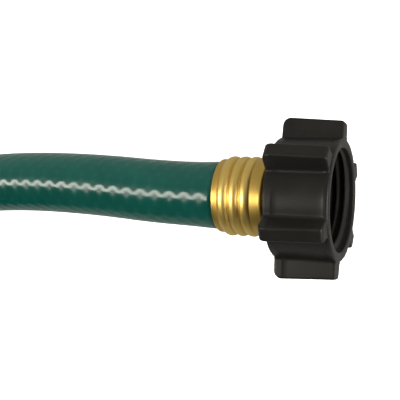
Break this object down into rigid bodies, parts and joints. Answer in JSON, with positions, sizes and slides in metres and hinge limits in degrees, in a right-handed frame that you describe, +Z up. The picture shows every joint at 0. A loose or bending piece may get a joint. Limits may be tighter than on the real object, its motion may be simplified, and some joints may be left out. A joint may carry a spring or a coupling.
{
  "type": "garden hose coupling",
  "caption": "Winged swivel hose coupling with a ribbed brass crimp ferrule on a short coiled reinforced hose that ends in a threaded brass male coupling.",
  "frame": {"origin": "on the surface that the coupling rests on, under the middle of the coupling and its ferrule", "axes": "+X along the coupling's axis, out of its threaded mouth; +Z up"},
  "size_m": [0.3442, 0.2481, 0.0479],
  "materials": {
    "nut_plastic": "satin moulded",
    "washer_rubber": "matt",
    "brass": "bright rolled",
    "hose_cover": "glossy vinyl",
    "hose_yarn": "knitted polyester",
    "hose_liner": "extruded",
    "tie_strap": "hook and loop"
  },
  "bodies": {
    "hose": {"insert": "brass", "ferrule": "brass", "hose_end_cover": "hose_cover", "hose_end_yarn": "hose_yarn", "hose_end_liner": "hose_liner", "hose_run": "hose_cover", "hose_coil": "hose_cover", "hose_tail": "hose_cover", "coil_tie_low": "tie_strap", "coil_tie_high": "tie_strap", "far_ferrule": "brass", "male_fitting": "brass", "far_end_cover": "hose_cover", "far_end_yarn": "hose_yarn", "far_end_liner": "hose_liner"},
    "nut": {"swivel_nut": "nut_plastic"},
    "washer": {"hose_washer": "washer_rubber"}
  },
  "joints": [
    {"name": "nut_swivel", "type": "hinge", "parent": "hose", "child": "nut", "pos_m": [0, 0, 0.01988], "axis": [1, 0, 0], "continuous": true},
    {"name": "washer_float", "type": "slide", "parent": "nut", "child": "washer", "axis": [1, 0, 0], "range_m": [0, 0.0004]}
  ]
}
